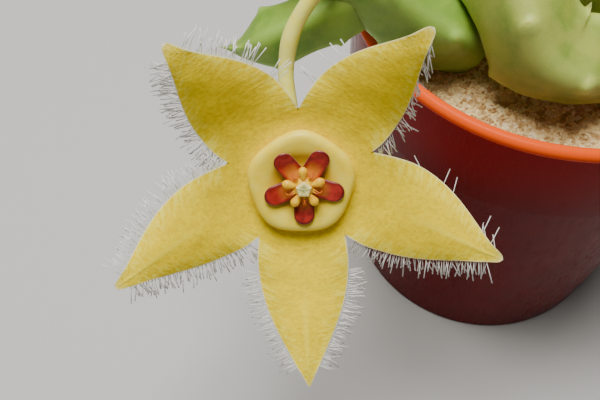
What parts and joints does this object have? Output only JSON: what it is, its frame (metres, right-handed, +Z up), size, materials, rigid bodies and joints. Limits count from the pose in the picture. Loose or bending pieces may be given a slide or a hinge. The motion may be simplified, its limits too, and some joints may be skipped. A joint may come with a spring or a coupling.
{
  "type": "potted orbea",
  "caption": "Clump of angled, toothed succulent stems in a small round plastic pot of coarse sand, with an open yellow star-shaped flower on a stalk over the rim.",
  "frame": {"origin": "middle of the flat hub under the pot, on the surface that the pot stands on", "axes": "+Z up along the pot's axis; the flower hangs over the rim towards -X and -Y"},
  "size_m": [0.0951, 0.0896, 0.102],
  "materials": {
    "pot_plastic": "glossy dark red, orange-red on the thin lip",
    "grit_sand": "coarse dry sand",
    "stem_green": "waxy green skin",
    "stem_pale": "pale sage waxy skin",
    "stalk_green": "pale yellow-green skin",
    "corolla_yellow": "fleshy, faintly mottled yellow",
    "annulus_cream": "smooth waxy cream",
    "corona_maroon": "satin maroon red",
    "corona_yellow": "satin orange-yellow",
    "style_cream": "pale green cream"
  },
  "bodies": {
    "root": {"pot": "pot_plastic", "grit": "grit_sand", "stem_left": "stem_green", "stem_front": "stem_pale", "stem_middle": "stem_green", "stem_right": "stem_green", "stem_back_right": "stem_green", "stem_back": "stem_green", "stem_back_left": "stem_green", "stem_centre": "stem_green", "flower_stalk": "stalk_green", "corolla": "corolla_yellow", "annulus": "annulus_cream", "corona_outer": "corona_maroon", "corona_inner": "corona_yellow", "style_head": "style_cream"}
  },
  "joints": []
}
